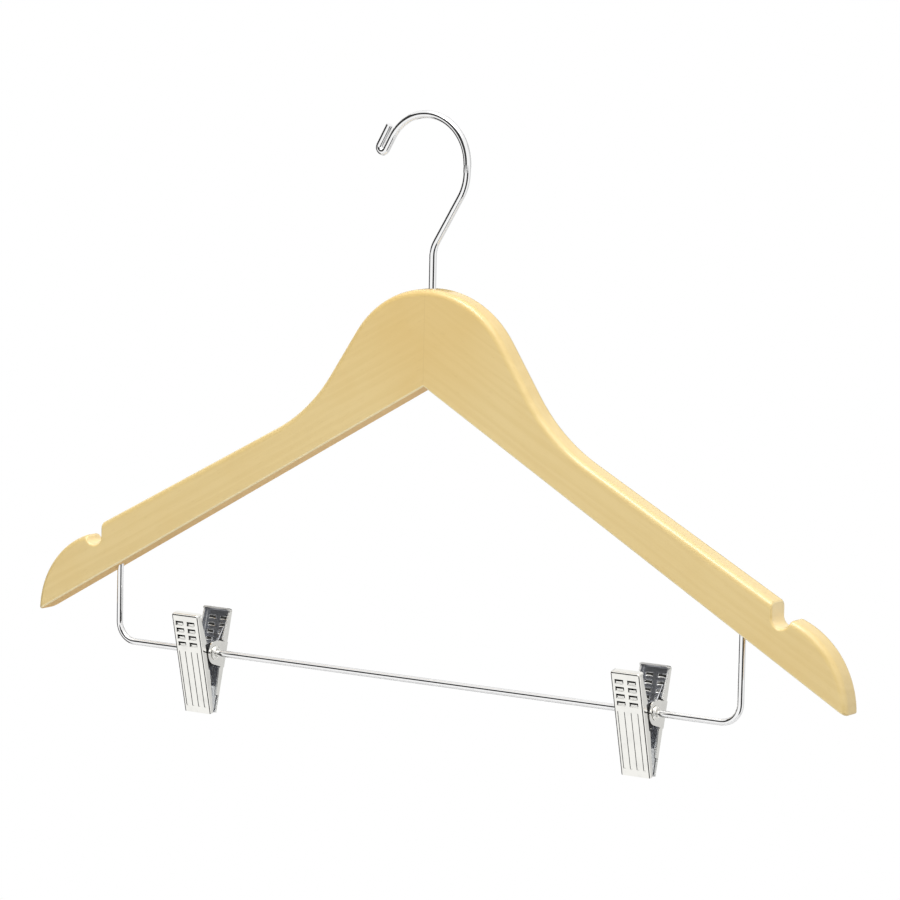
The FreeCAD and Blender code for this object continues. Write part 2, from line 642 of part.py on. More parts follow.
def make_grip(label, clip_at, side):
    """The soft pad inside a jaw's tip, cut to meet the other pad flat."""
    body = new_body(label)
    y = (lambda formula: formula) if side > 0 else (lambda formula: f"-({formula})")
    half_gap = "sizes.pad_gap / 2 / cos(sizes.clip_lean)"
    foot = "(sizes.plate_fall - sizes.pad_lift)"
    top = f"({foot} - sizes.pad_height)"
    profile = new_sketch(body, "YZ_Plane", "profile")
    points = [
        (y(PLATE_IN), f"-{foot}"),
        (y(PLATE_IN), f"-{top}"),
        (y(f"{top} * tan(sizes.clip_lean) + {half_gap}"), f"-{top}"),
        (y(f"{foot} * tan(sizes.clip_lean) + {half_gap}"), f"-{foot}"),
    ]
    draw(profile, points)
    pad(body, profile, "sizes.clip_width - 2 * (sizes.sheet_thick + sizes.pad_side)", symmetric=True)
    place(body, clip_at, BAR_Z, "sizes.clip_lean" if side < 0 else "-sizes.clip_lean")
    return body


def make_eyelet(label, clip_at):
    """The hollow rivet that holds a clip together and runs on the bar, with rolled rims at both ends."""
    body = new_body(label)
    inner = "(sizes.clip_width / 2 + sizes.ear_shift + sizes.side_clearance)"
    outer = f"({inner} + sizes.eyelet_rim)"
    rim = f"{EYELET_RADIUS} + sizes.eyelet_flare"
    roll = f"{EYELET_RADIUS} + sizes.eyelet_flare - sizes.eyelet_rim"
    profile = new_sketch(body, "XY_Plane", "profile")
    points = [
        (f"-{outer}", EYELET_BORE),
        (outer, EYELET_BORE),
        (outer, roll),
        (inner, rim),
        (inner, EYELET_RADIUS),
        (f"-{inner}", EYELET_RADIUS),
        (f"-{inner}", rim),
        (f"-{outer}", roll),
    ]
    draw(profile, points, {2: ("sizes.eyelet_rim", True), 6: ("sizes.eyelet_rim", True)})
    turn(body, profile, "H_Axis")
    place(body, clip_at, BAR_Z)
    return body


def half_arc(start, corner, end):
    """An arc from start to end, tangent at both to the lines through the corner."""
    middle = (start + end) / 2
    half = (end - start).Length / 2
    rise = corner - middle
    lean = math.atan2(rise.Length, half)
    top = middle + rise.normalize() * half * math.tan(lean / 2)
    return Part.Arc(start, top, end).toShape()


def biarc(start, start_way, end, end_way):
    """Two arcs that leave start along start_way and reach end along end_way, tangent where they meet."""
    chord = end - start
    ways = start_way + end_way
    lead = chord.dot(ways)
    spread = 2 * (1 - start_way.dot(end_way))
    reach = (math.sqrt(lead * lead + spread * chord.dot(chord)) - lead) / spread
    first_corner = start + start_way * reach
    last_corner = end - end_way * reach
    joint = (first_corner + last_corner) / 2
    return [half_arc(start, first_corner, joint), half_arc(joint, last_corner, end)]


def make_spring(label, clip_at):
    """The torsion spring: a coil round the eyelet, and two straight legs that push the jaws' tops apart."""
    radius = value("sizes.spring_radius")
    pitch = value("sizes.spring_pitch")
    wire = value("sizes.spring_wire")
    lean = math.radians(value("sizes.clip_lean"))
    reach = value("sizes.spring_reach")
    stand = value(f"{PLATE_IN} - sizes.spring_gap - sizes.spring_wire / 2")
    # the front leg's end, in the plane across the pivot, and where its line touches the coil
    end_y = -stand * math.cos(lean) - reach * math.sin(lean)
    end_z = -stand * math.sin(lean) + reach * math.cos(lean)
    end_far = math.hypot(end_y, end_z)
    leg = math.sqrt(end_far ** 2 - radius ** 2)
    first = math.atan2(end_z, end_y) + math.acos(radius / end_far)
    last = 3 * math.pi - first + 2 * math.pi * value("sizes.spring_turns")
    climb = pitch / (2 * math.pi)
    half_length = climb * (last - first) / 2

    def coil_point(angle):
        """A point of the coil's centre line."""
        x = climb * (angle - first) - half_length
        return Vector(x, radius * math.cos(angle), radius * math.sin(angle))

    def coil_way(angle):
        """The way the wire runs at a point of the coil."""
        return Vector(climb, -radius * math.sin(angle), radius * math.cos(angle)).normalize()

    spans = math.ceil((last - first) / (math.pi / 2))
    angles = [first + (last - first) * i / spans for i in range(spans + 1)]
    foot = coil_point(first) - coil_way(first) * leg
    edges = [Part.LineSegment(foot, coil_point(first)).toShape()]
    for a, b in zip(angles, angles[1:]):
        edges += biarc(coil_point(a), coil_way(a), coil_point(b), coil_way(b))
    edges.append(Part.LineSegment(coil_point(last), coil_point(last) + coil_way(last) * leg).toShape())
    section = Part.Wire([Part.Circle(foot, coil_way(first), wire / 2).toShape()])
    pipe = Part.BRepOffsetAPI.MakePipeShell(Part.Wire(edges))
    pipe.add(section)
    pipe.build()
    pipe.makeSolid()
    spring = doc.addObject("Part::Feature", label)
    spring.Label = label
    spring.Shape = pipe.shape()
    place(spring, clip_at, BAR_Z)
    steps = [first + i * math.pi / GAP_STEPS for i in range(int((last - first) * GAP_STEPS / math.pi) + 1)]
    centres = [coil_point(angle) for angle in steps]
    apart = min(a.distanceToPoint(b) for i, a in enumerate(centres) for b in centres[i + GAP_STEPS:])
    length = 2 * leg + (last - first) * math.hypot(radius, climb)
    swept = math.pi * wire ** 2 / 4 * length
    share = spring.Shape.Volume / swept
    print(f"{label}: least gap {apart - wire:.2f} mm, volume {share:.4f} of section by length")
    return spring


pieces = [
    make_arm("left"),
    make_arm("right"),
    make_dowel("upper_dowel", "sizes.dowel_drop"),
    make_dowel("lower_dowel", "(sizes.dowel_drop + sizes.dowel_pitch)"),
    make_hook(),
    make_washer(),
    make_bar(),
]
for hand in ("left", "right"):
    at = CLIP_X[hand]
    for name, side in (("front", -1), ("back", 1)):
        pieces.append(make_jaw(f"{hand}_{name}_jaw", at, side))
        pieces.append(make_grip(f"{hand}_{name}_pad", at, side))
    pieces.append(make_eyelet(f"{hand}_pivot_eyelet", at))
    pieces.append(make_spring(f"{hand}_spring", at))

doc.recompute()
for item in doc.Objects:
    if "Invalid" in item.State or "Error" in item.State:
        raise RuntimeError(f"{item.Label} failed: {item.State}")
for piece in pieces:
    if piece.Shape.isNull() or not piece.Shape.isValid():
        raise RuntimeError(f"{piece.Label} has no sound shape")

os.makedirs("parts", exist_ok=True)
for piece in pieces:
    piece.Shape.exportStep(f"parts/{piece.Label}.step")
    box = piece.Shape.BoundBox
    print(f"{piece.Label}: {len(piece.Shape.Solids)} solid, {piece.Shape.Volume:.1f} mm3, "
          f"{box.XLength:.1f} x {box.YLength:.1f} x {box.ZLength:.1f} mm")
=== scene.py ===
"""Looks of the wooden skirt hanger: lacquered arms, chrome wire, pressed clips, clear pads and a white studio.

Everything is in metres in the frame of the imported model: +Z up, +X to the right, the front towards -Y.
The pressed clip pieces are shaped in millimetres and scaled once, when a piece is made.
"""

import logging
import math
from dataclasses import dataclass, field
from enum import Enum, IntEnum
from typing import Any, Callable, Iterable, Optional, Sequence, Union

import bmesh
import bpy
from mathutils import Matrix, Vector


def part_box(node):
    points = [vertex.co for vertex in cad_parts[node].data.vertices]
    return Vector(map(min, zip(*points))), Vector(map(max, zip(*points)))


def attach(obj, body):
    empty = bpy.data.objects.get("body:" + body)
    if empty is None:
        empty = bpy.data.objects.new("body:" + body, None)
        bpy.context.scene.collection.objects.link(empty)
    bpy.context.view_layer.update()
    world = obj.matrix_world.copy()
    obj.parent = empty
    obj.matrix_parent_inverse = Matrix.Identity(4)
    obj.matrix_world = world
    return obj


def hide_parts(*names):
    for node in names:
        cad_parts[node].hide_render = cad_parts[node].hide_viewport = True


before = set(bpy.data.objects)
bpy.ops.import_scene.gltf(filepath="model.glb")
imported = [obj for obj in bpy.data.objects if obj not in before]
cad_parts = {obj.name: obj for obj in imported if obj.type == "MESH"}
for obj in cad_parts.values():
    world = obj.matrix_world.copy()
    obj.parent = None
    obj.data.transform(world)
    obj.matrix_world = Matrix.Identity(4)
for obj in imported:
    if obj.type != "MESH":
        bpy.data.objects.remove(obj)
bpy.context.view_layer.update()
LOG = logging.getLogger("skirt_hanger")

MM = 0.001
ORIGIN = (0.0, 0.0, 0.0)
STAGE_CREASE = 30.0  # degrees from which an edge of the stage shows sharp
NEAR = 1e-4  # millimetres within which a point counts as on a line
Colour = tuple[float, float, float, float]


def tint(red: float, green: float, blue: float) -> Colour:
    """Turn a colour of 0 to 255 as a screen shows it into the linear one that a shader takes.

    Args:
        red: Red of the colour.
        green: Green of the colour.
        blue: Blue of the colour.

    Returns:
        The linear colour, with full alpha.
    """
    def linear(level: float) -> float:
        """One channel, linear."""
        share = level / 255
        return share / 12.92 if share <= 0.04045 else ((share + 0.055) / 1.055) ** 2.4

    return linear(red), linear(green), linear(blue), 1.0


# ---------------------------------------------------------------------------------------------------------
# Shader arithmetic
# ---------------------------------------------------------------------------------------------------------

class Signal:
    """A node's output that takes part in Python arithmetic; each step adds a Math node."""

    def __init__(self, sheet: "NodeSheet", socket: bpy.types.NodeSocket) -> None:
        """Wrap a socket.

        Args:
            sheet: The sheet that further nodes go on.
            socket: The output that is wrapped.
        """
        self.sheet = sheet
        self.socket = socket

    def math(self, operation: str, *fed: "Operand") -> "Signal":
        """Feed a Math node.

        Args:
            operation: The Math node's operation.
            fed: Values or signals for its sockets, in order.

        Returns:
            The node's result.
        """
        return self.sheet.node("ShaderNodeMath", {"operation": operation}, dict(enumerate(fed)))

    def __add__(self, other: "Operand") -> "Signal":
        """Sum."""
        return self.math("ADD", self, other)

    __radd__ = __add__

    def __sub__(self, other: "Operand") -> "Signal":
        """Difference."""
        return self.math("SUBTRACT", self, other)

    def __rsub__(self, other: "Operand") -> "Signal":
        """Difference from a number."""
        return self.math("SUBTRACT", other, self)

    def __mul__(self, other: "Operand") -> "Signal":
        """Product."""
        return self.math("MULTIPLY", self, other)

    __rmul__ = __mul__

    def __abs__(self) -> "Signal":
        """Size without sign."""
        return self.math("ABSOLUTE", self)

    def step(self, low: float, high: float) -> "Signal":
        """A smooth step.

        Args:
            low: Where the step starts, at 0.
            high: Where the step ends, at 1.

        Returns:
            The step's signal.
        """
        return self.sheet.node("ShaderNodeMapRange", {"interpolation_type": "SMOOTHSTEP"},
                               {"Value": self, "From Min": low, "From Max": high})


Operand = Union[Signal, float]
Fed = Union[Signal, float, Sequence[float]]


class NodeSheet:
    """A node tree that is filled through one method for any node."""

    def __init__(self, tree: bpy.types.NodeTree) -> None:
        """Start with an empty tree.

        Args:
            tree: The tree, which is cleared.
        """
        self.tree = tree
        tree.nodes.clear()

    def node(self, kind: str, settings: Optional[dict[str, Any]] = None,
             sockets: Optional[dict[Union[int, str], Fed]] = None,
             output: Union[int, str] = 0) -> Optional[Signal]:
        """Add a node.

        Args:
            kind: The node's type.
            settings: Its settings, set first.
            sockets: Values or signals for its input sockets, by name or place.
            output: The output that is handed back.

        Returns:
            The chosen output, or None for a node without one.
        """
        made = self.tree.nodes.new(kind)
        for name, setting in (settings or {}).items():
            setattr(made, name, setting)
        for key, fed in (sockets or {}).items():
            if isinstance(fed, Signal):
                self.tree.links.new(fed.socket, made.inputs[key])
            else:
                made.inputs[key].default_value = fed
        return Signal(self, made.outputs[output]) if len(made.outputs) else None

    def place(self) -> Signal:
        """The place on the piece, in metres."""
        return self.node("ShaderNodeTexCoord", output="Object")

    def axes(self) -> tuple[Signal, ...]:
        """The place on the piece along X, Y and Z, in metres."""
        return tuple(self.node("ShaderNodeSeparateXYZ", None, {0: self.place()}, output=axis) for axis in "XYZ")

    def away(self, spot: Sequence[float]) -> Signal:
        """The distance from a spot.

        Args:
            spot: The spot on the piece, in metres.

        Returns:
            The distance, in metres.
        """
        return self.node("ShaderNodeVectorMath", {"operation": "DISTANCE"}, {0: self.place(), 1: spot},
                         output="Value")

    def turned(self, turn: Sequence[float], stretch: Sequence[float], shift: Sequence[float]) -> Signal:
        """The place on the piece in a pattern's own turned and stretched frame.

        Args:
            turn: Turn of the pattern about X, Y and Z, in radians.
            stretch: How many times longer the pattern is along its axes.
            shift: Where the pattern's middle is, in metres.

        Returns:
            The place as the pattern sees it.
        """
        return self.node("ShaderNodeMapping", {"vector_type": "TEXTURE"},
                         {"Vector": self.place(), "Location": shift, "Rotation": turn, "Scale": stretch})

    def noise(self, at: Signal, size: float, detail: float = 2.0, roughness: float = 0.5) -> Signal:
        """Cloudy noise.

        Args:
            at: The place it is read at.
            size: Size of its largest blots, in metres.
            detail: How many finer layers it has.
            roughness: How strong the finer layers are.

        Returns:
            A signal of about 0.25 to 0.75.
        """
        return self.node("ShaderNodeTexNoise", None,
                         {"Vector": at, "Scale": 1 / size, "Detail": detail, "Roughness": roughness})

    def mix(self, share: Operand, start: Fed, end: Fed) -> Signal:
        """Mix two colours.

        Args:
            share: 0 for the start, 1 for the end.
            start: First colour.
            end: Second colour.

        Returns:
            The mixed colour.
        """
        return self.node("ShaderNodeMix", {"data_type": "RGBA"}, {0: share, 6: start, 7: end}, output=2)

    def bump(self, height: Signal, depth: float, strength: float) -> Signal:
        """A bumped normal.

        Args:
            height: Height over the surface, 0 to 1.
            depth: What a height of 1 stands for, in metres.
            strength: Share of the bump that shows.

        Returns:
            The normal.
        """
        return self.node("ShaderNodeBump", None, {"Height": height, "Distance": depth, "Strength": strength})

    def surface(self, **sockets: Fed) -> None:
        """Close a material with one principled surface.

        Args:
            sockets: The shader's sockets, with _ for a space in their names.
        """
        named = {name.replace("_", " "): fed for name, fed in sockets.items()}
        shader = self.node("ShaderNodeBsdfPrincipled", None, named)
        self.node("ShaderNodeOutputMaterial", None, {"Surface": shader})


def new_material(name: str) -> tuple[bpy.types.Material, NodeSheet]:
    """Start a material.

    Args:
        name: The finish's name.

    Returns:
        The material and its empty node sheet.
    """
    material = bpy.data.materials.new(name)
    material.use_nodes = True
    return material, NodeSheet(material.node_tree)


# ---------------------------------------------------------------------------------------------------------
# Finishes
# ---------------------------------------------------------------------------------------------------------

@dataclass(frozen=True)
class LacqueredWood:
    """Pale, close-grained wood under a clear lacquer, its grain along one arm."""

    name: str
    slope: float  # degrees that the grain falls towards +X
    cut: tuple[float, float, float]  # place in the log, so that no two boards match
    straw: Colour = tint(224, 197, 133)
    cream: Colour = tint(228, 202, 139)
    honey: Colour = tint(219, 184, 108)
    fleck: Colour = tint(190, 152, 90)
    # Painted light: the cream tone that lightens the lower round-overs as a highlight and the strap notch where
    # light falls in.
    painted_light: Colour = tint(255, 238, 190)
    # Painted shade: the warmer, more orange tone of the shaded underside.
    underside_shade: Colour = tint(234, 192, 126)
    glue: Colour = tint(204, 170, 106)
    ring_width: float = 0.0046
    face: float = 0.006  # centre of the board to its faces
    edge: float = 0.0008  # round-over of its lower edges
    crown: tuple[float, float, float] = (0.0, 0.0, -0.088)
    apex: float = -0.1182  # inner corner of the V
    under: float = 29.55  # slope of the lower edge, in degrees
    notch: tuple[float, float] = (0.1803, 0.1891)  # inner wall and lip of the strap notch
    notch_fade: float = 0.0004  # how softly the painted light ends past them
    notch_rim: tuple[float, float] = (0.0014, 0.0004)  # how far below the faces it ends
    notch_foot: tuple[float, float] = (0.001, 0.003)  # how far above the lower edge it starts

    def make(self) -> bpy.types.Material:
        """Make the wood.

        Returns:
            The material.
        """
        material, sheet = new_material(self.name)
        turn = (0.0, math.radians(self.slope), 0.0)
        board = sheet.turned(turn, (22.0, 1.0, 1.0), self.cut)
        short = sheet.turned(turn, (7.0, 1.0, 1.0), self.cut)
        rings = sheet.node("ShaderNodeTexWave", {"bands_direction": "Z", "wave_profile": "SIN"},
                           {"Vector": board, "Scale": math.pi / (10 * self.ring_width), "Distortion": 9.0,
                            "Detail": 3.0, "Detail Scale": 1.8, "Detail Roughness": 0.65}, output=1)
        fibres = sheet.noise(board, 0.0005, 3.0, 0.6)
        streaks = sheet.noise(board, 0.003, 2.0, 0.5)
        pores = sheet.noise(short, 0.0007, 1.0, 0.4).step(0.64, 0.74)
        clouds = sheet.noise(sheet.place(), 0.03, 3.0, 0.5)
        across, depth, height = sheet.axes()
        rake = math.radians(self.under)
        above = (height - self.apex) * math.cos(rake) + abs(across) * math.sin(rake)
        outer = abs(depth).step(self.face - 1.1 * self.edge, self.face - 0.5 * self.edge)
        # Painted highlight: a cream line along the lower round-overs, where the lacquer catches the light; the
        # coat is thinned there too.
        low_edge_highlight = outer * (1 - above.step(0.5 * self.edge, 1.2 * self.edge))
        # Painted shade: the flat underside gets a warmer, more orange tone for its shaded look; it is also made
        # rougher and less coated.
        underside_shade = (1 - above.step(0.05 * self.edge, 0.3 * self.edge)) * (1 - outer)
        # Painted light: the strap notch is lightened where light falls into it.
        wall, lip = self.notch
        notch_light = (abs(across).step(wall - self.notch_fade, wall)
                    - abs(across).step(lip, lip + self.notch_fade))
        within = 1 - abs(depth).step(*(self.face - rim for rim in self.notch_rim))
        notch_light = notch_light * within * above.step(*self.notch_foot)
        blush = 1 - sheet.away(self.crown).step(0.012, 0.062)
        seam = 1 - abs(across).step(0.00005, 0.00025)
        tone = rings * 0.25 + streaks * 0.4 + fibres * 0.35
        colour = sheet.mix(tone.step(0.3, 0.7), self.cream, self.straw)
        colour = sheet.mix(clouds.step(0.4, 0.7) * 0.16 + blush * 0.5, colour, self.honey)
        colour = sheet.mix(pores * 0.1, colour, self.fleck)
        colour = sheet.mix(underside_shade * 0.85, colour, self.underside_shade)
        colour = sheet.mix(low_edge_highlight * 0.95 + notch_light * 0.45, colour, self.painted_light)
        colour = sheet.mix(seam * 0.3, colour, self.glue)
        grain = fibres * 0.6 + (1 - pores) * 0.4 - seam * 0.4
        sheet.surface(Base_Color=colour, Roughness=0.36 + fibres * 0.14 + underside_shade * 0.3, IOR=1.5,
                      Coat_Weight=0.7 - underside_shade * 0.65 - low_edge_highlight * 0.6, Coat_Roughness=0.12,
                      Normal=sheet.bump(grain, 0.00006, 0.2))
        return material


@dataclass(frozen=True)
class Plating:
    """Bright plated metal with a thin haze, polishing lines and a few handling marks."""

    name: str
    colour: Colour
    worn: Colour
    gloss: float  # roughness where it is clean
    haze: float  # roughness that haze and marks add
    line: tuple[float, float, float] = (1.0, 1.0, 18.0)  # stretch of the polishing lines

    def make(self) -> bpy.types.Material:
        """Make the metal.

        Returns:
            The material.
        """
        material, sheet = new_material(self.name)
        lines = sheet.noise(sheet.turned(ORIGIN, self.line, ORIGIN), 0.0002, 2.0, 0.6)
        marks = sheet.noise(sheet.place(), 0.006, 3.0, 0.6)
        specks = sheet.noise(sheet.place(), 0.0009, 1.0, 0.5).step(0.66, 0.76)
        dull = marks.step(0.45, 0.75) * 0.6 + lines.step(0.4, 0.8) * 0.3 + specks * 0.4
        colour = sheet.mix(dull, self.colour, self.worn)
        sheet.surface(Base_Color=colour, Metallic=1.0, Roughness=self.gloss + dull * self.haze,
                      Normal=sheet.bump(lines * 0.5 - specks * 0.5, 0.000006, 0.12))
        return material


@dataclass(frozen=True)
class ClearVinyl:
    """Soft clear vinyl, a little cloudy, with a moulded skin."""

    name: str
    clear: Colour = tint(240, 242, 243)
    cloudy: Colour = tint(226, 229, 231)

    def make(self) -> bpy.types.Material:
        """Make the vinyl.

        Returns:
            The material.
        """
        material, sheet = new_material(self.name)
        clouds = sheet.noise(sheet.place(), 0.004, 3.0, 0.6)
        skin = sheet.noise(sheet.place(), 0.0005, 2.0, 0.5)
        sheet.surface(Base_Color=sheet.mix(clouds.step(0.35, 0.7), self.clear, self.cloudy),
                      Roughness=0.2 + skin * 0.2, IOR=1.5, Transmission_Weight=0.2,
                      Normal=sheet.bump(skin, 0.00004, 0.25))
        return material


@dataclass(frozen=True)
class StageTone:
    """A plain matt tone for the floor."""

    name: str
    tone: Colour
    speck: Colour

    def make(self) -> bpy.types.Material:
        """Make the tone.

        Returns:
            The material.
        """
        material, sheet = new_material(self.name)
        grain = sheet.noise(sheet.place(), 0.05, 3.0, 0.6)
        sheet.surface(Base_Color=sheet.mix(grain.step(0.4, 0.7), self.tone, self.speck), Roughness=0.9,
                      Specular_IOR_Level=0.1)
        return material


class Finishes:
    """The hanger's finishes, made once."""

    def __init__(self) -> None:
        """Make them all."""
        self.left_wood = LacqueredWood("lacquered_wood_left", -28.6, (0.31, 0.02, 0.17)).make()
        self.right_wood = LacqueredWood("lacquered_wood_right", 28.6, (-0.27, 0.05, -0.09)).make()
        self.dowel_wood = LacqueredWood("dowel_wood", 0.0, (0.1, 0.3, 0.2)).make()
        self.wire = Plating("chrome_wire", tint(246, 246, 246), tint(238, 238, 238), 0.03, 0.02).make()
        self.sheet = Plating("chrome_sheet", tint(244, 243, 238), tint(230, 229, 225), 0.05, 0.06).make()
        self.inside = Plating("jaw_inside", tint(185, 187, 192), tint(150, 152, 157), 0.34, 0.1).make()
        # Partly painted highlight: the cut edges are rougher, and their paler tint stands in for the bright rim
        # that a rounded edge would catch.
        self.edge = Plating("cut_edge", tint(252, 252, 250), tint(240, 240, 238), 0.55, 0.15).make()
        # Painted shade: a dark finish laid in the louvre slots and where the ears lap, for the shade there.
        self.slot = Plating("louvre_slot", tint(52, 52, 54), tint(40, 40, 42), 0.35, 0.2).make()
        self.steel = Plating("spring_steel", tint(196, 197, 200), tint(140, 141, 145), 0.18, 0.2).make()
        self.vinyl = ClearVinyl("clear_vinyl").make()


# ---------------------------------------------------------------------------------------------------------
# Mesh work
# ---------------------------------------------------------------------------------------------------------

Geometry = Union[bmesh.types.BMVert, bmesh.types.BMEdge, bmesh.types.BMFace]


def only(kind: type, geometry: Iterable[Geometry]) -> list:
    """Pick one kind of element.

    Args:
        kind: The element's type.
        geometry: Mixed elements.

    Returns:
        The elements of that kind.
    """
    return [item for item in geometry if isinstance(item, kind)]


def edges_where(bm: bmesh.types.BMesh, test: Callable[[Vector], bool]) -> list[bmesh.types.BMEdge]:
    """Find the open edges whose two ends pass a test.

    Args:
        bm: The mesh.
        test: The test on an end's place.

    Returns:
        The edges.
    """
    return [edge for edge in bm.edges if edge.is_boundary and all(test(vert.co) for vert in edge.verts)]


def make_piece(name: str, bm: bmesh.types.BMesh, place: Matrix, finishes: Sequence[bpy.types.Material],
               crease: float) -> bpy.types.Object:
    """Turn a mesh in millimetres into a piece in metres.

    Args:
        name: The piece's name.
        bm: Its mesh, which is freed.
        place: Where the piece goes, in millimetres.
        finishes: Its finishes, in the order of the faces' material numbers.
        crease: Angle in degrees from which an edge shows sharp.

    Returns:
        The piece.
    """
    bmesh.ops.transform(bm, matrix=Matrix.Scale(MM, 4) @ place, verts=bm.verts[:])
    bmesh.ops.recalc_face_normals(bm, faces=bm.faces[:])
    mesh = bpy.data.meshes.new(name)
    bm.to_mesh(mesh)
    bm.free()
    mesh.polygons.foreach_set("use_smooth", [True] * len(mesh.polygons))
    mesh.set_sharp_from_angle(angle=math.radians(crease))
    for finish in finishes:
        mesh.materials.append(finish)
    piece = bpy.data.objects.new(name, mesh)
    bpy.context.scene.collection.objects.link(piece)
    return piece


def dress(node: str, finish: bpy.types.Material) -> None:
    """Give a CAD node its finish.

    Args:
        node: The node's name.
        finish: The finish.
    """
    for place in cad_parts[node].material_slots:
        place.material = finish
    LOG.info("dressed %s", node)


# ---------------------------------------------------------------------------------------------------------
# Wood, hook and bar
# ---------------------------------------------------------------------------------------------------------

@dataclass
class WoodenArms:
    """The two glued arms and the dowels across their joint."""

    finishes: Finishes

    def build(self) -> None:
        """Dress the arms and the dowels."""
        dress("left_arm", self.finishes.left_wood)
        dress("right_arm", self.finishes.right_wood)
        for node in ("upper_dowel", "lower_dowel"):
            dress(node, self.finishes.dowel_wood)


@dataclass
class SwivelHook:
    """The wire hook and the washer that carries it in the crown."""

    finishes: Finishes

    def build(self) -> None:
        """Dress the hook and its washer."""
        dress("hook", self.finishes.wire)
        dress("hook_washer", self.finishes.steel)


@dataclass
class ClipBar:
    """The wire bar with its two legs."""

    finishes: Finishes

    def build(self) -> None:
        """Dress the bar."""
        dress("clip_bar", self.finishes.wire)


# ---------------------------------------------------------------------------------------------------------
# Clips
# ---------------------------------------------------------------------------------------------------------

class Hand(Enum):
    """Which of the two clips."""

    LEFT = "left"
    RIGHT = "right"


class Side(Enum):
    """Which of a clip's two jaws; the value is the sign of its plate along Y."""

    FRONT = -1
    BACK = 1

    @property
    def word(self) -> str:
        """The side's word in the names of nodes and bodies."""
        return self.name.lower()


class JawLook(IntEnum):
    """A jaw's finishes, by the number of their material."""

    SHEET = 0
    INSIDE = 1
    # Painted shade in the louvre slots and where the ears lap.
    SLOT = 2
    EDGE = 3


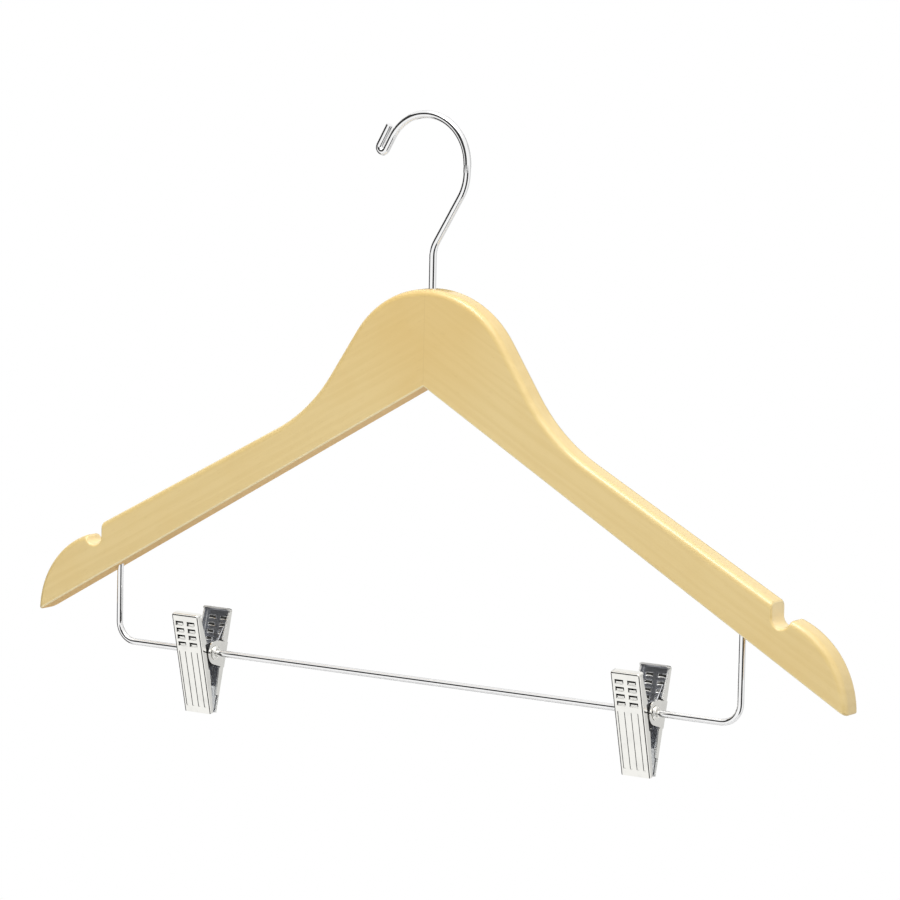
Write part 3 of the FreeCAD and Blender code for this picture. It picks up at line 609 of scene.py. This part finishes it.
@dataclass
class PressedJaw:
    """One jaw pressed from sheet: plate with beads and louvres, folded lip, flanges and ears.

    Its own frame has the pivot at the origin, +Y out to the plate and +Z up along it, in millimetres.
    """

    hand: Hand
    side: Side
    pivot: Vector
    half_width: float = 7.5
    stand: float = 9.4  # pivot to the plate's outer face
    rise: float = 21.4
    fall: float = 27.2
    lean: float = 13.7
    thick: float = 0.8
    fold: float = 1.1  # outer round of the side folds
    lip_fold: float = 1.2
    lip_depth: float = 3.6
    fold_steps: int = 6
    cell: float = 0.2  # mesh of the plate
    ear_radius: float = 5.5
    ear_root: float = 6.0
    ear_step: float = 0.5
    ear_steps: int = 32
    hole: float = 2.16
    hole_sides: int = 40
    flange_stop: float = -19.2
    flange_marks: tuple[tuple[float, float], ...] = (
        (-27.2, 7.13), (-6.6, 5.4), (-6.0, 6.1), (6.0, 6.1), (6.6, 4.8), (20.6, 6.8),
    )  # heights, and how far from the pivot a flange ends there
    bead_count: int = 4
    bead_pitch: float = 3.4
    bead_half: float = 0.65
    bead_proud: float = 0.2
    bead_top: float = 2.8
    bead_foot: float = -23.6
    louvre_rows: int = 4
    louvre_pitch: float = 3.4
    louvre_edge: float = 17.4  # lower edge of the top slot
    louvre_column: float = 3.2
    louvre_half: float = 2.2
    louvre_slot: float = 0.55
    louvre_depth: float = 0.7
    louvre_hood: float = 1.6
    louvre_proud: float = 0.55
    inner_share: float = 0.85  # share of the pressed pattern on the sheet's inner face
    skin_slack: float = 0.1
    edge_facing: float = 0.8  # how squarely a cut edge faces inwards
    crease: float = 42.0

    @property
    def flat(self) -> float:
        """Half width of the plate between its folds."""
        return self.half_width - self.fold

    @property
    def shoulder(self) -> float:
        """Height at which the lip's fold starts."""
        return self.rise - self.lip_fold

    @property
    def place(self) -> Matrix:
        """Where the jaw's own frame goes."""
        lean = Matrix.Rotation(math.radians(-self.side.value * self.lean), 4, "X")
        return Matrix.Translation(self.pivot) @ lean @ Matrix.Diagonal((1, self.side.value, 1, 1))

    def flange_edge(self, z: float) -> float:
        """Distance from the pivot to a flange's free edge.

        Args:
            z: Height on the jaw.

        Returns:
            The distance, out towards the plate.
        """
        for (low, first), (high, last) in zip(self.flange_marks, self.flange_marks[1:]):
            if z <= high:
                return first + (last - first) * max(z - low, 0.0) / (high - low)
        return self.flange_marks[-1][1]

    def louvres(self) -> list[tuple[float, float]]:
        """List the louvres.

        Returns:
            Middle and lower slot edge of each.
        """
        return [(hand * self.louvre_column, self.louvre_edge - row * self.louvre_pitch)
                for hand in (-1, 1) for row in range(self.louvre_rows)]

    def in_slot(self, x: float, z: float) -> bool:
        """Tell whether a place on the plate lies in a louvre's slot.

        Args:
            x: Place across the plate.
            z: Height on the plate.

        Returns:
            Whether it does.
        """
        return any(abs(x - middle) < self.louvre_half and NEAR < z - edge < self.louvre_slot
                   for middle, edge in self.louvres())

    def relief(self, x: float, z: float) -> float:
        """How far the pressed pattern stands out of the plate.

        Args:
            x: Place across the plate.
            z: Height on the plate.

        Returns:
            The height of the pattern there.
        """
        if self.in_slot(x, z):
            return -self.louvre_depth
        proud = 0.0
        for bead in range(self.bead_count):
            middle = (bead - (self.bead_count - 1) / 2) * self.bead_pitch
            beside = z - min(max(z, self.bead_foot), self.bead_top)
            off = math.hypot(x - middle, beside) / self.bead_half
            if off < 1:
                proud = max(proud, self.bead_proud * math.cos(off * math.pi / 2) ** 2)
        for middle, edge in self.louvres():
            across = abs(x - middle) / self.louvre_half
            down = (edge - z) / self.louvre_hood
            if across < 1 and -NEAR <= down < 1:
                proud = max(proud, self.louvre_proud * math.sqrt((1 - across * across) * (1 - down * down)))
        return proud

    def _plate(self, bm: bmesh.types.BMesh) -> None:
        """Lay the flat plate.

        Args:
            bm: The jaw's mesh.
        """
        width, height = 2 * self.flat, self.shoulder + self.fall
        stand_up = Matrix.Rotation(math.radians(90), 4, "X") @ Matrix.Diagonal((width, height, 1, 1))
        middle = Matrix.Translation((0, self.stand, (self.shoulder - self.fall) / 2))
        bmesh.ops.create_grid(bm, x_segments=round(width / self.cell), y_segments=round(height / self.cell),
                              size=0.5, matrix=middle @ stand_up)

    def _flanges(self, bm: bmesh.types.BMesh) -> None:
        """Fold the plate's sides in and draw the flanges out to their free edges.

        Args:
            bm: The jaw's mesh.
        """
        for hand in (-1, 1):
            sides = edges_where(bm, lambda at: abs(at.x - hand * self.flat) < NEAR)
            bend = bmesh.ops.spin(bm, geom=sides, cent=(hand * self.flat, self.stand - self.fold, 0),
                                  axis=(0, 0, 1), angle=-hand * math.pi / 2, steps=self.fold_steps)
            last = only(bmesh.types.BMEdge, bend["geom_last"])
            if self.side is Side.BACK:
                last = [edge for edge in last if min(v.co.z for v in edge.verts) > self.flange_stop - NEAR]
            drawn = bmesh.ops.extrude_edge_only(bm, edges=last)
            for vert in only(bmesh.types.BMVert, drawn["geom"]):
                vert.co.y = self.flange_edge(vert.co.z)

    def _lip(self, bm: bmesh.types.BMesh) -> None:
        """Fold the plate's top over into the lip, with the tops of its side folds, which rounds the corners.

        Args:
            bm: The jaw's mesh.
        """
        root = self.stand - self.fold
        top = edges_where(bm, lambda at: abs(at.z - self.shoulder) < NEAR and at.y > root - NEAR)
        bend = bmesh.ops.spin(bm, geom=top, cent=(0, self.stand - self.lip_fold, self.shoulder),
                              axis=(1, 0, 0), angle=math.pi / 2, steps=self.fold_steps)
        drawn = bmesh.ops.extrude_edge_only(bm, edges=only(bmesh.types.BMEdge, bend["geom_last"]))
        for vert in only(bmesh.types.BMVert, drawn["geom"]):
            vert.co.y = self.stand - self.lip_depth

    def _press(self, bm: bmesh.types.BMesh) -> None:
        """Give the sheet its thickness and press the beads and louvres out of the plate.

        Args:
            bm: The jaw's mesh.
        """
        bmesh.ops.recalc_face_normals(bm, faces=bm.faces[:])
        outward = sum(face.normal.y for face in bm.faces) > 0
        bmesh.ops.solidify(bm, geom=bm.faces[:], thickness=self.thick if outward else -self.thick)
        within = self.stand - self.thick / 2
        for vert in bm.verts:
            x, y, z = vert.co
            if abs(x) < self.flat + NEAR and z < self.shoulder and y > within - self.thick:
                vert.co.y += self.relief(x, z) * (1.0 if y > within else self.inner_share)

    def _ears(self, bm: bmesh.types.BMesh) -> None:
        """Add the two round ears with their holes.

        Args:
            bm: The jaw's mesh.
        """
        outer = self.half_width + self.side.value * self.ear_step
        root = self.stand - self.fold
        for hand in (-1, 1):
            x = hand * outer
            start = bmesh.ops.create_vert(bm, co=(x, 0, self.ear_radius))["vert"]
            arc = bmesh.ops.spin(bm, geom=start, cent=(x, 0, 0), axis=(1, 0, 0), angle=math.pi,
                                 steps=self.ear_steps)
            ends = [start[0], only(bmesh.types.BMVert, arc["geom_last"])[0]]
            feet = []
            for end, height in zip(ends, (self.ear_root, -self.ear_root)):
                foot = bmesh.ops.create_vert(bm, co=(x, root, height))["vert"][0]
                bmesh.ops.contextual_create(bm, geom=[end, foot])
                feet.append(foot)
            bmesh.ops.contextual_create(bm, geom=feet)
            rim = [edge for edge in bm.edges if not edge.link_faces and abs(edge.verts[0].co.x - x) < NEAR]
            turn = Matrix.Translation((x, 0, 0)) @ Matrix.Rotation(math.pi / 2, 4, "Y")
            ring = bmesh.ops.create_circle(bm, segments=self.hole_sides, radius=self.hole, matrix=turn)["verts"]
            hole = list({edge for vert in ring for edge in vert.link_edges})
            faces = bmesh.ops.bridge_loops(bm, edges=rim + hole)["faces"]
            wall = bmesh.ops.extrude_face_region(bm, geom=faces, use_keep_orig=True)["geom"]
            bmesh.ops.translate(bm, vec=(-hand * self.thick, 0, 0), verts=only(bmesh.types.BMVert, wall))

    def _inside(self, bm: bmesh.types.BMesh) -> None:
        """Mark the faces with another finish: duller inside, painted shade in the slots and where the ears lap,
        and pale cut edges that are a painted highlight.

        Args:
            bm: The jaw's mesh.
        """
        bm.normal_update()
        skin = self.half_width - self.thick + self.skin_slack
        for face in bm.faces:
            spot = face.calc_center_median()
            within = abs(spot.x) < skin and spot.y < self.stand - self.thick + 0.5 * self.bead_proud
            inside = within and spot.z < self.rise - self.thick / 2
            face.material_index = JawLook.INSIDE if inside else JawLook.SHEET
            # Painted shade: slot faces and the lapped ear faces get the dark finish.
            slot = face.normal.y > 0 and self.in_slot(spot.x, spot.z) and spot.y > self.stand - self.thick
            lapped = self.side is Side.FRONT and abs(abs(spot.x) - self.half_width + self.ear_step) < NEAR
            if slot or lapped and spot.y < self.stand - self.fold:
                face.material_index = JawLook.SLOT
            # Painted highlight: cut edges facing inwards get the paler, rougher finish.
            border = abs(spot.x) > skin - 0.5 * self.thick or spot.z > self.rise - self.thick
            if face.normal.y < -self.edge_facing and border and spot.y > self.ear_step:
                face.material_index = JawLook.EDGE

    def build(self, finishes: Finishes) -> bpy.types.Object:
        """Build the jaw.

        Args:
            finishes: The hanger's finishes.

        Returns:
            The piece.
        """
        bm = bmesh.new()
        self._plate(bm)
        self._flanges(bm)
        self._lip(bm)
        self._press(bm)
        self._ears(bm)
        self._inside(bm)
        name = f"{self.hand.value}_{self.side.word}_pressed_jaw"
        looks = {JawLook.SHEET: finishes.sheet, JawLook.INSIDE: finishes.inside, JawLook.SLOT: finishes.slot,
                 JawLook.EDGE: finishes.edge}
        piece = make_piece(name, bm, self.place, [looks[look] for look in JawLook], self.crease)
        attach(piece, f"{self.hand.value}_{self.side.word}")
        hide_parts(f"{self.hand.value}_{self.side.word}_jaw")
        return piece


@dataclass
class GripPad:
    """The clear soft pad in a jaw's tip, with cross grooves on its gripping face."""

    jaw: PressedJaw
    half_width: float = 6.4
    foot: float = -26.6
    top: float = -15.2
    half_gap: float = 0.15
    rounding: float = 0.9
    rounding_steps: int = 4
    grooves: int = 4
    groove_depth: float = 0.3
    groove_margin: float = 1.4  # plain rim past the first and last groove, in roundings
    skin: float = 0.1  # how deep a point on the gripping face may lie
    crease: float = 60.0

    def grip(self, z: float) -> float:
        """Distance from the pivot to the gripping face.

        Args:
            z: Height on the jaw.

        Returns:
            The distance, out towards the plate.
        """
        lean = math.radians(self.jaw.lean)
        return (self.half_gap - z * math.sin(lean)) / math.cos(lean)

    def build(self, finishes: Finishes) -> bpy.types.Object:
        """Build the pad.

        Args:
            finishes: The hanger's finishes.

        Returns:
            The piece.
        """
        bm = bmesh.new()
        seat = self.jaw.stand - self.jaw.thick
        bmesh.ops.create_cube(bm, size=2)
        for vert in bm.verts:
            z = self.top if vert.co.z > 0 else self.foot
            vert.co = Vector((vert.co.x * self.half_width, seat if vert.co.y > 0 else self.grip(z), z))
        bmesh.ops.bevel(bm, geom=bm.edges[:], offset=self.rounding, offset_type="OFFSET",
                        segments=self.rounding_steps, profile=0.5, affect="EDGES", material=-1)
        margin = self.groove_margin * self.rounding
        low, high = self.foot + margin, self.top - margin
        step = (high - low) / (2 * self.grooves)
        for row in range(2 * self.grooves + 1):
            bmesh.ops.bisect_plane(bm, geom=bm.verts[:] + bm.edges[:] + bm.faces[:], dist=NEAR,
                                   plane_co=(0, 0, low + row * step), plane_no=(0, 0, 1))
        for vert in bm.verts:
            row = round((vert.co.z - low) / step)
            on_row = abs(low + row * step - vert.co.z) < NEAR and 0 < row < 2 * self.grooves
            if on_row and row % 2 and vert.co.y - self.grip(vert.co.z) < self.skin:
                vert.co.y += self.groove_depth
        name = f"{self.jaw.hand.value}_{self.jaw.side.word}_grip_pad"
        piece = make_piece(name, bm, self.jaw.place, (finishes.vinyl,), self.crease)
        soften = piece.modifiers.new("soften", "SUBSURF")
        soften.levels = soften.render_levels = 1
        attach(piece, f"{self.jaw.hand.value}_{self.jaw.side.word}")
        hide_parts(f"{self.jaw.hand.value}_{self.jaw.side.word}_pad")
        return piece


@dataclass
class EyeletRims:
    """The rolled rims at the two ends of a clip's hollow rivet."""

    hand: Hand
    pivot: Vector
    stand: float = 8.7  # middle of the clip to a rim's centre
    radius: float = 2.4  # centre line of a rim
    roll: float = 0.45  # half thickness of a rim
    sides: int = 20
    steps: int = 56
    crease: float = 60.0

    def build(self, finishes: Finishes) -> bpy.types.Object:
        """Build the rims.

        Args:
            finishes: The hanger's finishes.

        Returns:
            The piece.
        """
        bm = bmesh.new()
        for hand in (-1, 1):
            at = Matrix.Translation((hand * self.stand, self.radius, 0))
            ring = bmesh.ops.create_circle(bm, segments=self.sides, radius=self.roll, matrix=at)["verts"]
            edges = list({edge for vert in ring for edge in vert.link_edges})
            bmesh.ops.spin(bm, geom=edges, cent=(0, 0, 0), axis=(1, 0, 0), angle=2 * math.pi, steps=self.steps,
                           use_merge=True)
        name = f"{self.hand.value}_eyelet_rims"
        piece = make_piece(name, bm, Matrix.Translation(self.pivot), (finishes.sheet,), self.crease)
        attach(piece, f"{self.hand.value}_slider")
        return piece


@dataclass
class TorsionSpring:
    """The spring on a clip's pivot: a coil, and two legs that follow the jaws."""

    hand: Hand
    pivot: Vector
    wire: float = 0.5  # radius of the wire
    radius: float = 3.4  # centre line of the coil
    pitch: float = 1.7
    turns: int = 4
    reach: float = 13.0  # pivot to a leg's end, along the plate
    stand: float = 7.8  # pivot to a leg's end, out to the plate
    lean: float = 13.7
    lap: float = 32.0  # degrees of coil that a leg keeps when its jaw opens
    slack: float = 0.02  # how much thinner a leg is than the coil over it
    sides: int = 12
    steps: int = 28  # steps in a turn
    crease: float = 50.0
    leg: float = field(init=False)  # length of a leg
    first: float = field(init=False)  # angles at which the coil starts and ends
    last: float = field(init=False)
    climb: float = field(init=False)  # how far the coil moves along the bar per radian

    def __post_init__(self) -> None:
        """Work out where the legs meet the coil."""
        lean = math.radians(self.lean)
        end_y = -self.stand * math.cos(lean) - self.reach * math.sin(lean)
        end_z = -self.stand * math.sin(lean) + self.reach * math.cos(lean)
        far = math.hypot(end_y, end_z)
        self.leg = math.sqrt(far * far - self.radius * self.radius)
        self.first = math.atan2(end_z, end_y) + math.acos(self.radius / far)
        self.last = 3 * math.pi - self.first + 2 * math.pi * self.turns
        self.climb = self.pitch / (2 * math.pi)

    def point(self, angle: float) -> Vector:
        """A place on the coil's centre line.

        Args:
            angle: Angle round the pivot.

        Returns:
            The place.
        """
        along = self.climb * (angle - (self.first + self.last) / 2)
        return Vector((along, self.radius * math.cos(angle), self.radius * math.sin(angle)))

    def way(self, angle: float) -> Vector:
        """The way the wire runs on the coil.

        Args:
            angle: Angle round the pivot.

        Returns:
            The direction.
        """
        return Vector((self.climb, -self.radius * math.sin(angle), self.radius * math.cos(angle))).normalized()

    def _section(self, bm: bmesh.types.BMesh, at: Vector, way: Vector, wire: float) -> list:
        """Start a wire.

        Args:
            bm: The mesh.
            at: Where it starts.
            way: The way it runs.
            wire: Its radius.

        Returns:
            The starting ring's edges.
        """
        turn = Matrix.Translation(at) @ way.to_track_quat("Z", "Y").to_matrix().to_4x4()
        ring = bmesh.ops.create_circle(bm, segments=self.sides, radius=wire, matrix=turn)["verts"]
        return list({edge for vert in ring for edge in vert.link_edges})

    def _wind(self, bm: bmesh.types.BMesh, ring: list, angle: float) -> list:
        """Wind a wire round the pivot.

        Args:
            bm: The mesh.
            ring: The edges of the wire's end.
            angle: How far it is wound.

        Returns:
            The edges of the new end.
        """
        steps = max(2, round(abs(angle) / (2 * math.pi) * self.steps))
        wound = bmesh.ops.spin(bm, geom=ring, cent=(0, 0, 0), axis=(1, 0, 0), angle=angle, steps=steps,
                               dvec=(self.climb * angle / steps, 0, 0))
        return only(bmesh.types.BMEdge, wound["geom_last"])

    def _coil(self) -> bmesh.types.BMesh:
        """The coil.

        Returns:
            Its mesh.
        """
        bm = bmesh.new()
        ring = self._section(bm, self.point(self.first), self.way(self.first), self.wire)
        self._wind(bm, ring, self.last - self.first)
        bmesh.ops.holes_fill(bm, edges=bm.edges[:], sides=0)
        return bm

    def _leg(self, side: Side) -> bmesh.types.BMesh:
        """One leg, with the stretch of coil that it keeps.

        Args:
            side: The jaw it pushes.

        Returns:
            Its mesh.
        """
        bm = bmesh.new()
        start, away = (self.first, -1) if side is Side.FRONT else (self.last, 1)
        ring = self._section(bm, self.point(start), self.way(start), self.wire - self.slack)
        drawn = bmesh.ops.extrude_edge_only(bm, edges=ring)["geom"]
        bmesh.ops.translate(bm, vec=self.way(start) * self.leg * away, verts=only(bmesh.types.BMVert, drawn))
        self._wind(bm, ring, -away * math.radians(self.lap))
        bmesh.ops.holes_fill(bm, edges=bm.edges[:], sides=0)
        return bm

    def build(self, finishes: Finishes) -> list[bpy.types.Object]:
        """Build the spring.

        Args:
            finishes: The hanger's finishes.

        Returns:
            Its three pieces.
        """
        place = Matrix.Translation(self.pivot)
        made = [(f"{self.hand.value}_spring_coil", self._coil(), f"{self.hand.value}_coil")]
        for side in Side:
            made.append((f"{self.hand.value}_{side.word}_spring_leg", self._leg(side),
                         f"{self.hand.value}_{side.word}"))
        pieces = []
        for name, bm, body in made:
            piece = make_piece(name, bm, place, (finishes.steel,), self.crease)
            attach(piece, body)
            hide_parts(f"{self.hand.value}_spring")
            pieces.append(piece)
        return pieces


@dataclass
class Clip:
    """One sprung clip on the bar."""

    hand: Hand
    finishes: Finishes

    def build(self) -> None:
        """Build the clip's pieces round its pivot."""
        low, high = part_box(f"{self.hand.value}_pivot_eyelet")
        pivot = (low + high) / 2 / MM
        dress(f"{self.hand.value}_pivot_eyelet", self.finishes.sheet)
        pieces = [EyeletRims(self.hand, pivot).build(self.finishes)]
        for side in Side:
            jaw = PressedJaw(self.hand, side, pivot)
            pieces += [jaw.build(self.finishes), GripPad(jaw).build(self.finishes)]
        pieces += TorsionSpring(self.hand, pivot).build(self.finishes)
        for piece in pieces:
            LOG.info("built %s: %d faces", piece.name, len(piece.data.polygons))


# ---------------------------------------------------------------------------------------------------------
# Studio and camera
# ---------------------------------------------------------------------------------------------------------

@dataclass
class SoftBox:
    """A square lamp that faces the hanger."""

    name: str
    spot: tuple[float, float, float]
    size: float
    watts: float
    mirrored: bool = True  # whether it shows in the chrome

    def build(self, target: Vector) -> None:
        """Hang the lamp.

        Args:
            target: What it faces.
        """
        lamp = bpy.data.lights.new(self.name, "AREA")
        lamp.shape = "SQUARE"
        lamp.size = self.size
        lamp.energy = self.watts
        holder = bpy.data.objects.new(self.name, lamp)
        facing = (target - Vector(self.spot)).to_track_quat("-Z", "Y").to_matrix().to_4x4()
        holder.matrix_world = Matrix.Translation(self.spot) @ facing
        holder.visible_glossy = self.mirrored
        bpy.context.scene.collection.objects.link(holder)


@dataclass
class ToneCard:
    """A curved card round the hanger, dark or pale, which draws a line or a tone on the chrome."""

    name: str
    start: float  # degrees from the front towards +X
    stop: float
    low: float  # degrees above the horizon
    high: float
    level: float = 58.0  # how bright it looks, 0 to 255
    grain: float = 0.94  # share of that in its grain
    distance: float = 3.0
    bend: float = 4.0  # degrees that it curves in a step

    def build(self, middle: Vector) -> None:
        """Stand the card up, out of the camera's sight.

        Args:
            middle: What it curves round.
        """
        bm = bmesh.new()
        turn = Matrix.Rotation(math.radians(self.start), 3, "Z")
        ends = []
        for edge in (self.low, self.high):
            at = turn @ Vector((0, -self.distance, self.distance * math.tan(math.radians(edge)))) / MM
            ends += bmesh.ops.create_vert(bm, co=at)["vert"]
        side = bmesh.ops.contextual_create(bm, geom=ends)["edges"]
        sweep = self.stop - self.start
        bmesh.ops.spin(bm, geom=side, cent=(0, 0, 0), axis=(0, 0, 1), angle=math.radians(sweep),
                       steps=round(sweep / self.bend))
        finish, sheet = new_material(f"{self.name}_paper")
        grain = sheet.noise(sheet.place(), 0.05, 3.0, 0.6)
        shade = sheet.mix(grain, tint(*[self.level] * 3), tint(*[self.level * self.grain] * 3))
        sheet.surface(Base_Color=(0, 0, 0, 1), Specular_IOR_Level=0.0, Roughness=1.0, Emission_Color=shade,
                      Emission_Strength=1.0)
        card = make_piece(self.name, bm, Matrix.Translation(middle / MM), (finish,), STAGE_CREASE)
        for kind in ("camera", "diffuse", "shadow", "transmission"):
            setattr(card, f"visible_{kind}", False)


@dataclass
class Studio:
    """White surroundings, soft lamps, a pale floor, and cards that draw lines and tones on the chrome."""

    ambient: float = 0.48
    floor_drop: float = -1.7
    floor_radius: float = 1.7
    floor_sides: int = 96
    middle: Vector = Vector((0.0, 0.0, -0.15))
    lamps: tuple[SoftBox, ...] = (
        SoftBox("top_light", (0.1, -0.35, 1.6), 2.0, 20.0),
        SoftBox("key_light", (0.0, -0.58, 1.34), 0.7, 10.0),
        SoftBox("front_light", (-1.0, -2.0, 0.7), 1.6, 10.0, mirrored=False),
        SoftBox("right_light", (1.9, -0.9, 0.3), 1.2, 9.0, mirrored=False),
        SoftBox("back_light", (0.6, 2.2, 0.8), 1.6, 9.0, mirrored=False),
    )
    cards: tuple[ToneCard, ...] = (
        ToneCard("front_card", -100.0, 25.0, -1.0, 37.0),
        ToneCard("right_card", 28.0, 76.0, -55.0, -1.0),
        ToneCard("left_card", -125.0, -58.0, -45.0, -1.0, 75.0),
        ToneCard("left_back_card", -150.0, -136.0, -45.0, 20.0),
        ToneCard("back_card", 176.0, 206.0, -1.0, 22.0),
        ToneCard("right_back_card", 118.0, 172.0, -45.0, 30.0, 225.0),
    )

    def _world(self) -> None:
        """Make the surroundings: white as seen, and a plain light on what is matt."""
        world = bpy.data.worlds.new("white_studio")
        world.use_nodes = True
        bpy.context.scene.world = world
        sheet = NodeSheet(world.node_tree)
        seen = sheet.node("ShaderNodeLightPath", output="Is Camera Ray")
        for kind in ("Is Glossy Ray", "Is Transmission Ray"):
            seen = seen.math("MAXIMUM", seen, sheet.node("ShaderNodeLightPath", output=kind))
        light = sheet.node("ShaderNodeBackground", None, {"Color": (1, 1, 1, 1), "Strength": self.ambient})
        white = sheet.node("ShaderNodeBackground", None, {"Color": (1, 1, 1, 1), "Strength": 1.0})
        both = sheet.node("ShaderNodeMixShader", None, {0: seen, 1: light, 2: white})
        sheet.node("ShaderNodeOutputWorld", None, {"Surface": both})

    def _floor(self) -> None:
        """Lay the floor under the hanging piece."""
        bm = bmesh.new()
        bmesh.ops.create_circle(bm, cap_ends=True, segments=self.floor_sides,
                                radius=self.floor_radius / MM)
        finish = StageTone("pale_floor", tint(250, 250, 250), tint(246, 246, 246)).make()
        floor = make_piece("floor", bm, Matrix.Translation((0, 0, self.floor_drop / MM)), (finish,),
                           STAGE_CREASE)

    def build(self) -> None:
        """Set up the studio."""
        self._world()
        self._floor()
        for card in self.cards:
            card.build(self.middle)
        for lamp in self.lamps:
            lamp.build(self.middle)


@dataclass
class ViewCamera:
    """The camera at the photograph's viewing angle."""

    azimuth: float = 33.631
    elevation: float = 7.045
    roll: float = -1.195
    distance: float = 2.0
    aside: float = -0.00925  # where the aim lies in the picture, from the reference point
    above: float = 0.0284
    reference: Vector = Vector((0.0, 0.0, -0.1182))  # the inner corner of the V
    lens: float = 179.936
    sensor: float = 36.0

    def build(self) -> None:
        """Set up the camera."""
        round_z, up, roll = (math.radians(a) for a in (self.azimuth, self.elevation, self.roll))
        right = Vector((math.cos(round_z), math.sin(round_z), 0))
        back = Vector((math.sin(round_z) * math.cos(up), -math.cos(round_z) * math.cos(up), math.sin(up)))
        upward = back.cross(right)
        spot = self.reference - right * self.aside - upward * self.above + back * self.distance
        across = right * math.cos(roll) - upward * math.sin(roll)
        top = right * math.sin(roll) + upward * math.cos(roll)
        camera = bpy.data.cameras.new("view_camera")
        camera.lens = self.lens
        camera.sensor_width = self.sensor
        camera.sensor_fit = "HORIZONTAL"
        holder = bpy.data.objects.new("view_camera", camera)
        holder.matrix_world = Matrix.Translation(spot) @ Matrix((across, top, back)).transposed().to_4x4()
        bpy.context.scene.collection.objects.link(holder)
        bpy.context.scene.camera = holder


def main() -> None:
    """Build the camera, the studio and the hanger."""
    logging.basicConfig(level=logging.INFO, format="%(name)s: %(message)s")
    bpy.context.scene.view_settings.view_transform = "Standard"
    ViewCamera().build()
    Studio().build()
    finishes = Finishes()
    for assembly in (WoodenArms(finishes), SwivelHook(finishes), ClipBar(finishes),
                     *(Clip(hand, finishes) for hand in Hand)):
        assembly.build()


if __name__ == "__main__":
    main()
